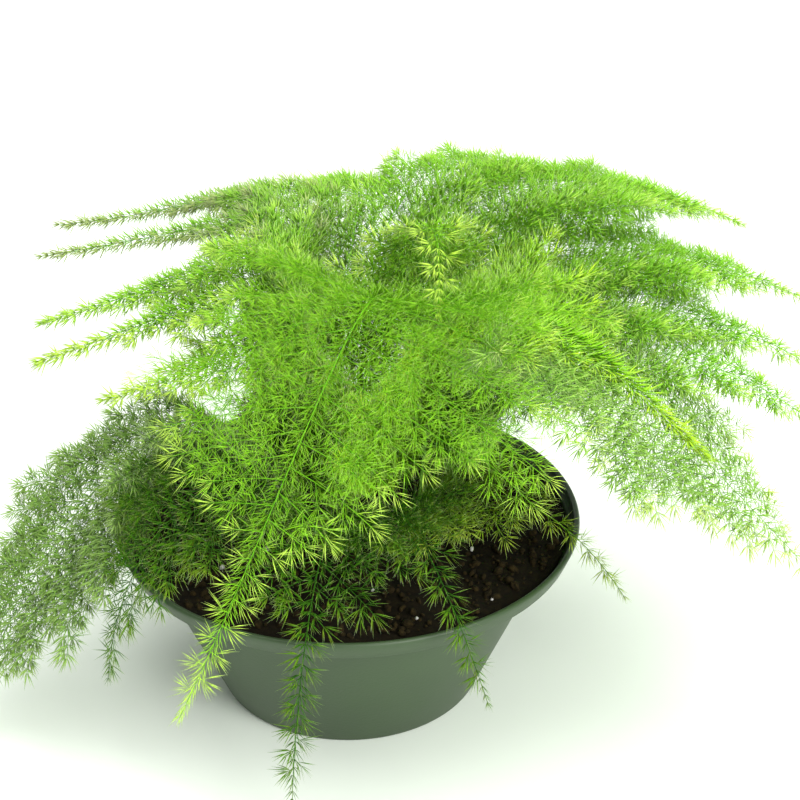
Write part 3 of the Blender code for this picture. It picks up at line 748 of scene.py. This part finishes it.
def add_whorls(shape, habit, lines, youngest, draw):
    """Whorls of needles along these lines, closer to the line's heading near its end.

    youngest is the youth of the needles at the lines' ends.
    """
    counts = np.maximum(1, (lines.length / habit.whorl_step).astype(int))
    rows, order = placed(counts)
    share = (order + WHORL_PLACE) / counts[rows]
    near_tip = np.clip(1.0 - (1.0 - share) * lines.length[rows] / YOUNG_WHORLS, 0.0, 1.0)
    along = Whorls(
        roots=lines.at(rows, share),
        headings=lines.heading(rows, share),
        tops=lines.top[rows],
        leans=np.radians(between(BRANCH_LEANS, near_tip)),
        lengths=draw.uniform(*habit.lengths, len(rows)),
        youth=np.maximum(lines.youth[rows], youngest * near_tip),
    )
    add_needles(shape, habit, along, habit.needles, BRANCH_FLATNESS, draw)
    every = np.arange(len(lines.length))
    ends = np.ones(len(every))
    brushes = Whorls(
        roots=lines.at(every, ends),
        headings=lines.heading(every, ends),
        tops=lines.top,
        leans=np.full(len(every), math.radians(TIP_LEAN)),
        lengths=np.full(len(every), TIP_NEEDLE_LENGTH),
        youth=np.maximum(lines.youth, youngest),
    )
    add_needles(shape, habit, brushes, TIP_NEEDLES, BRANCH_FLATNESS, draw)


def add_stem(shape, habit, stem, draw):
    """The stem's own tube, and the whorls along the part of it that bears branches."""
    distances = np.linspace(0.0, stem.length, STEM_RINGS)
    centres = stem.at(distances)[None]
    headings = stem.heading(distances)[None]
    tops = stem.axes(distances)[1][None]
    radii = np.interp(distances, (0.0, stem.first, stem.length), STEM_RADII)[None]
    add_tubes(shape, centres, headings, tops, radii, np.zeros(1), STEM_SIDES)
    count = round((stem.length - stem.first) / habit.stem_step)
    share = (np.arange(count) + 0.5) / count
    distances = stem.first + share * (stem.length - stem.first)
    youth = stem.youth(distances)
    whorls = Whorls(
        roots=stem.at(distances),
        headings=stem.heading(distances),
        tops=stem.axes(distances)[1],
        leans=np.radians(between(STEM_LEANS, youth)),
        lengths=draw.uniform(*habit.lengths, count) * (1.0 - STEM_SHORTENING * youth),
        youth=youth,
    )
    add_needles(shape, habit, whorls, habit.needles, STEM_FLATNESS, draw)


def grow_frond(frond, material, draw):
    """One frond: its stem, branches, twigs and needles in one mesh."""
    stem = Stem(frond)
    branches = grow_branches(frond, stem, draw)
    twigs = grow_twigs(branches, frond.habit, draw)
    shape = Shape()
    add_stem(shape, frond.habit, stem, draw)
    add_line_tubes(shape, branches, BRANCH_RADII, BRANCH_RINGS, BRANCH_SIDES)
    add_line_tubes(shape, twigs, TWIG_RADII, TWIG_RINGS, TWIG_SIDES)
    add_whorls(shape, frond.habit, branches, BRANCH_YOUTH, draw)
    add_whorls(shape, frond.habit, twigs, TWIG_YOUTH, draw)
    piece = shape.make(f"frond_{frond.name}_fine", material)
    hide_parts(f"frond_{frond.name}")
    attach(piece, "root")


def new_material(name):
    """A material with its nodes, its links and its Principled shader."""
    material = bpy.data.materials.new(name)
    material.use_nodes = True
    tree = material.node_tree
    return material, tree.nodes, tree.links, tree.nodes["Principled BSDF"]


def ramp(nodes, links, source, stops):
    """A colour ramp of this value through (place, colour) stops."""
    node = nodes.new("ShaderNodeValToRGB")
    elements = node.color_ramp.elements
    while len(elements) < len(stops):
        elements.new(1.0)
    for element, (place, colour) in zip(elements, stops):
        element.position = place
        element.color = (*colour, 1.0)
    links.new(source, node.inputs["Fac"])
    return node.outputs["Color"]


def grey(value):
    """This value in all three channels."""
    return (value, value, value)


def noise(nodes, links, scale, detail, roughness=0.5):
    """Cloudy values that keep their place on the object."""
    place = nodes.new("ShaderNodeTexCoord")
    node = nodes.new("ShaderNodeTexNoise")
    node.inputs["Scale"].default_value = scale
    node.inputs["Detail"].default_value = detail
    node.inputs["Roughness"].default_value = roughness
    links.new(place.outputs["Object"], node.inputs["Vector"])
    return node.outputs["Fac"]


def add_share(nodes, links, value, share, base):
    """The base value with this share of another on top."""
    node = nodes.new("ShaderNodeMath")
    node.operation = "MULTIPLY_ADD"
    links.new(value, node.inputs[0])
    node.inputs[1].default_value = share
    links.new(base, node.inputs[2])
    return node.outputs[0]


def add_bump(nodes, links, shader, height, strength, distance):
    """Fine relief on the surface, from this height."""
    node = nodes.new("ShaderNodeBump")
    node.inputs["Strength"].default_value = strength
    node.inputs["Distance"].default_value = distance
    links.new(height, node.inputs["Height"])
    links.new(node.outputs["Normal"], shader.inputs["Normal"])


def leaf_material(name, tone):
    """Living needles: darker inside the plant, fresher outwards, and palest at the growing tips."""
    material, nodes, links, shader = new_material(name)
    leaf = nodes.new("ShaderNodeAttribute")
    leaf.attribute_name = "leaf"
    marks = nodes.new("ShaderNodeSeparateColor")
    links.new(leaf.outputs["Color"], marks.inputs["Color"])
    youth, along, tint = (marks.outputs[channel] for channel in ("Red", "Green", "Blue"))
    cloud = noise(nodes, links, scale=60.0, detail=3.0)
    age = add_share(nodes, links, cloud, AGE_CLOUD, youth)
    age = add_share(nodes, links, tint, AGE_TINT, age)
    greens = (tone.old, tone.young, tone.young, tone.tip)
    light = nodes.new("ShaderNodeMixRGB")
    links.new(ramp(nodes, links, age, list(zip(AGES, greens))), light.inputs["Color1"])
    # The pale green mixed in at the needles' ends is partly their own colour and partly a painted highlight
    light.inputs["Color2"].default_value = (*PALE_AND_HIGHLIGHT_GREEN, 1.0)
    pale = [(place, grey(value)) for place, value in PALE_AND_HIGHLIGHT_ALONG]
    links.new(ramp(nodes, links, along, pale), light.inputs["Fac"])
    links.new(light.outputs["Color"], shader.inputs["Base Color"])
    shader.inputs["Roughness"].default_value = 0.6
    shader.inputs["Specular IOR Level"].default_value = 0.12
    shader.inputs["Subsurface Weight"].default_value = 0.25
    shader.inputs["Subsurface Radius"].default_value = (0.0006, 0.0010, 0.0002)
    shader.inputs["Subsurface Scale"].default_value = 1.0
    return material


def plastic_material():
    """Grey-green moulded plastic: satin, faintly mottled, with a fine moulded grain."""
    material, nodes, links, shader = new_material("pot_plastic_fine")
    cloud = noise(nodes, links, scale=28.0, detail=6.0)
    greens = [(0.30, (0.022, 0.045, 0.014)), (0.70, (0.035, 0.066, 0.023))]
    links.new(ramp(nodes, links, cloud, greens), shader.inputs["Base Color"])
    gloss = [(0.25, grey(0.38)), (0.75, grey(0.52))]
    links.new(ramp(nodes, links, cloud, gloss), shader.inputs["Roughness"])
    grain = noise(nodes, links, scale=1400.0, detail=2.0)
    add_bump(nodes, links, shader, grain, strength=0.12, distance=0.0003)
    return material


def soil_material(name, dark, light, scale):
    """Rough grains between a dark and a light colour, as on moist potting mix or perlite."""
    material, nodes, links, shader = new_material(name)
    grain = noise(nodes, links, scale, detail=8.0, roughness=0.7)
    links.new(ramp(nodes, links, grain, [(0.35, dark), (0.72, light)]), shader.inputs["Base Color"])
    add_bump(nodes, links, shader, grain, strength=0.8, distance=0.0006)
    shader.inputs["Roughness"].default_value = 0.9
    shader.inputs["Specular IOR Level"].default_value = 0.15
    return material


def floor_material():
    """A plain pale surface."""
    material, _, _, shader = new_material("pale_floor")
    shader.inputs["Base Color"].default_value = (*FLOOR_COLOUR, 1.0)
    shader.inputs["Roughness"].default_value = FLOOR_ROUGHNESS
    return material


def new_mesh(name, shape):
    """The mesh of this shape, which is then freed."""
    mesh = bpy.data.meshes.new(name)
    shape.to_mesh(mesh)
    shape.free()
    return mesh


def turned_mesh(name, profile, steps):
    """A closed body turned from a profile of (radius, height) pairs that starts and ends on the axis."""
    shape = bmesh.new()
    angles = [2 * math.pi * step / steps for step in range(steps)]
    rings = []
    for radius, height in profile:
        if radius == 0.0:
            rings.append([shape.verts.new((0.0, 0.0, height))] * steps)
            continue
        places = [(radius * math.cos(angle), radius * math.sin(angle), height) for angle in angles]
        rings.append([shape.verts.new(place) for place in places])
    for before, after in zip(rings, rings[1:]):
        for step in range(steps):
            following = (step + 1) % steps
            corners = [before[step], after[step], after[following], before[following]]
            shape.faces.new(list(dict.fromkeys(corners)))
    bmesh.ops.recalc_face_normals(shape, faces=shape.faces)
    return new_mesh(name, shape)


def arc(centre, radius, start, end, steps):
    """Points of a round stretch, with its angles in degrees."""
    angles = [math.radians(start + (end - start) * i / steps) for i in range(steps + 1)]
    return [(centre[0] + radius * math.cos(a), centre[1] + radius * math.sin(a)) for a in angles]


def pot_profile():
    """Radius and height along the inside floor, the inner wall, the lip, the collar and down to the base."""
    collar_foot = POT_HEIGHT - COLLAR_HEIGHT
    ledge = collar_foot - LEDGE_DROP
    half = WALL / 2
    floor_round = (BASE_RADIUS - WALL - FLOOR_ROUND, FLOOR_THICKNESS + FLOOR_ROUND)
    ledge_round = (WALL_TOP_RADIUS + 0.0004, ledge + 0.0006)
    lip_middle = (RIM_RADIUS - half - LIP_ROLL, POT_HEIGHT - half)
    step_round = (WALL_TOP_RADIUS + 0.0016, ledge - 0.0010)
    inside = [
        (0.0, FLOOR_THICKNESS),
        *arc(floor_round, FLOOR_ROUND, -90.0, -WALL_LEAN, 5),
        (WALL_TOP_RADIUS - WALL - 0.0004, ledge),
        *arc(ledge_round, LEDGE_ROUND, 170.0, 100.0, 4),
        (COLLAR_FOOT_RADIUS - WALL - 0.0010, collar_foot + WALL - 0.0004),
        (COLLAR_FOOT_RADIUS - WALL, collar_foot + WALL + 0.0005),
    ]
    collar = [
        *arc(lip_middle, half + LIP_ROLL, 180.0, 0.0, 8),
        (RIM_RADIUS - 0.0004, POT_HEIGHT - 0.0016),
        (COLLAR_FOOT_RADIUS + 0.0001, collar_foot + 0.0005),
        (COLLAR_FOOT_RADIUS - 0.0005, collar_foot),
    ]
    outside = [
        (WALL_TOP_RADIUS + 0.0022, collar_foot - 0.0004),
        *arc(step_round, STEP_ROUND, 90.0, 180.0 - WALL_LEAN, 5),
        *arc((BASE_RADIUS - BASE_ROUND, BASE_ROUND), BASE_ROUND, -WALL_LEAN, -90.0, 5),
        (BASE_RADIUS - 0.0040, 0.0),
        (0.0, 0.0),
    ]
    return inside + collar + outside


def drain_cutter(number):
    """One round cutter through the pot's floor."""
    angle = 2 * math.pi * (number + 0.5) / DRAIN_HOLES
    shape = bmesh.new()
    bmesh.ops.create_cone(
        shape, cap_ends=True, segments=DRAIN_HOLE_SIDES,
        radius1=DRAIN_HOLE_RADIUS, radius2=DRAIN_HOLE_RADIUS, depth=DRAIN_CUT_DEPTH,
    )
    name = f"drain_cutter_{number}"
    cutter = bpy.data.objects.new(name, new_mesh(name, shape))
    cutter.location = (DRAIN_CIRCLE_RADIUS * math.cos(angle), DRAIN_CIRCLE_RADIUS * math.sin(angle), 0.0)
    return cutter


def cut_drain_holes(pot):
    """Round holes through the floor of the pot."""
    cutters = bpy.data.collections.new("drain_cutters")
    bpy.context.scene.collection.children.link(cutters)
    for number in range(DRAIN_HOLES):
        cutters.objects.link(drain_cutter(number))
    boolean = pot.modifiers.new("Drain", "BOOLEAN")
    boolean.operation = "DIFFERENCE"
    boolean.operand_type = "COLLECTION"
    boolean.collection = cutters
    boolean.solver = "EXACT"
    depsgraph = bpy.context.evaluated_depsgraph_get()
    mesh = bpy.data.meshes.new_from_object(pot.evaluated_get(depsgraph))
    pot.modifiers.clear()
    pot.data = mesh
    for cutter in list(cutters.objects):
        bpy.data.objects.remove(cutter)
    bpy.data.collections.remove(cutters)
    mesh.shade_smooth()
    mesh.set_sharp_from_angle(angle=math.radians(SHARP_ANGLE))


def make_pot():
    """The pot: one turned shell with drain holes."""
    pot = link_object("pot_fine", turned_mesh("pot_fine", pot_profile(), POT_STEPS), plastic_material())
    cut_drain_holes(pot)
    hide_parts("pot")
    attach(pot, "root")


def soil_relief(x, y):
    """How far mounds and hollows of several sizes raise the soil there."""
    draw = np.random.default_rng(RELIEF_SEED)
    height = np.zeros_like(x)
    for wave, size in WAVE_SIZES:
        for _ in range(WAVES_OF_A_SIZE):
            angle, phase = draw.uniform(0.0, 2 * math.pi, 2)
            height += size * np.sin(wave * (x * math.cos(angle) + y * math.sin(angle)) + phase)
    return height


def make_soil():
    """The soil's closed body with its rough top."""
    radii = SOIL_EDGE * np.linspace(1.0 / SOIL_RINGS, 1.0, SOIL_RINGS)[:, None]
    turns = 2 * math.pi * np.arange(SOIL_STEPS) / SOIL_STEPS
    x = radii * np.cos(turns)
    y = radii * np.sin(turns)
    fade = 1.0 - (radii / SOIL_EDGE) ** RELIEF_FADE
    rings = [np.stack([x, y, SOIL_TOP + soil_relief(x, y) * fade], axis=-1)]
    for radius, height in SOIL_SKIRT:
        ring = [radius * np.cos(turns), radius * np.sin(turns), np.full(SOIL_STEPS, height)]
        rings.append(np.stack(ring, axis=-1)[None])
    grid = np.concatenate(rings)
    closing = [(0.0, 0.0, SOIL_SKIRT[-1][1]), (0.0, 0.0, SOIL_TOP)]
    points = np.concatenate([grid.reshape(-1, 3), closing])
    shape = Shape()
    shape.add(points, loft_faces(len(grid), SOIL_STEPS), np.zeros(points.shape))
    material = soil_material("potting_soil_fine", SOIL_DARK, SOIL_LIGHT, SOIL_GRAIN)
    soil = shape.make("soil_fine", material)
    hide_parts("soil")
    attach(soil, "root")


def make_lumps(kind):
    """Small uneven lumps bedded in the top of the soil."""
    draw = np.random.default_rng(kind.seed)
    ball = bmesh.new()
    bmesh.ops.create_icosphere(ball, subdivisions=1, radius=1.0)
    points = np.array([tuple(vert.co) for vert in ball.verts])
    faces = np.array([[vert.index for vert in face.verts] for face in ball.faces])
    ball.free()
    shape = Shape()
    for _ in range(kind.count):
        radius = (SOIL_EDGE - LUMP_MARGIN) * math.sqrt(draw.uniform(0.0, 1.0))
        angle = draw.uniform(0.0, 2 * math.pi)
        x, y = radius * math.cos(angle), radius * math.sin(angle)
        size = between(kind.sizes, draw.uniform(0.0, 1.0) ** 2)
        stretch = size * draw.uniform(*LUMP_STRETCHES, 3) * np.array((1.0, 1.0, kind.flatness))
        turn = np.linalg.qr(draw.normal(size=(3, 3)))[0]
        turn *= np.sign(np.linalg.det(turn))
        lump = points * draw.uniform(*LUMP_BUMPS, (len(points), 1)) * stretch @ turn.T
        z = SOIL_TOP + float(soil_relief(np.array(x), np.array(y))) + size * LUMP_RISE
        shape.add(lump + np.array((x, y, z)), faces, np.zeros(lump.shape))
    material = soil_material(kind.material, kind.dark, kind.light, kind.grain)
    piece = shape.make(kind.name, material)
    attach(piece, "root")


def make_floor():
    """The pale surface that the pot stands on."""
    half = FLOOR_SIZE / 2
    corners = [(-half, -half, 0.0), (half, -half, 0.0), (half, half, 0.0), (-half, half, 0.0)]
    mesh = bpy.data.meshes.new("floor")
    mesh.from_pydata(corners, [], [(0, 1, 2, 3)])
    link_object("floor", mesh, floor_material())


def make_soft_light(kind):
    """A soft square light that faces its target."""
    data = bpy.data.lights.new(kind.name, "AREA")
    data.shape = "SQUARE"
    data.size = kind.size
    data.energy = kind.power
    data.color = LIGHT_COLOUR
    light = bpy.data.objects.new(kind.name, data)
    bpy.context.scene.collection.objects.link(light)
    light.location = kind.place
    way = Vector(kind.target) - Vector(kind.place)
    light.rotation_euler = way.to_track_quat("-Z", "Y").to_euler()


def make_room():
    """A bright pale room."""
    world = bpy.data.worlds.new("white_room")
    bpy.context.scene.world = world
    world.use_nodes = True
    background = world.node_tree.nodes["Background"]
    background.inputs["Color"].default_value = (*ROOM_COLOUR, 1.0)
    background.inputs["Strength"].default_value = ROOM_STRENGTH


def make_camera():
    """The camera at the photograph's place."""
    data = bpy.data.cameras.new("camera")
    data.sensor_width = SENSOR
    data.lens = SENSOR * FOCAL_PIXELS / PHOTO_PIXELS
    data.clip_start = NEAREST_SEEN
    camera = bpy.data.objects.new("camera", data)
    bpy.context.scene.collection.objects.link(camera)
    camera.location = CAMERA_PLACE
    camera.rotation_euler = (math.pi / 2 - CAMERA_PITCH, 0.0, 0.0)
    bpy.context.scene.camera = camera


def main():
    """The plant in its pot, on a pale surface in a pale room."""
    bpy.context.scene.view_settings.view_transform = "Standard"
    make_camera()
    make_pot()
    make_soil()
    make_lumps(CRUMBS)
    make_lumps(PERLITE)
    leaves = {name: leaf_material(f"leaf_{name}_fine", tone) for name, tone in TONES.items()}
    for number, frond in enumerate(FRONDS):
        grow_frond(frond, leaves[frond.tone], np.random.default_rng((SEED, number)))
    make_floor()
    make_room()
    for kind in SOFT_LIGHTS:
        make_soft_light(kind)


main()
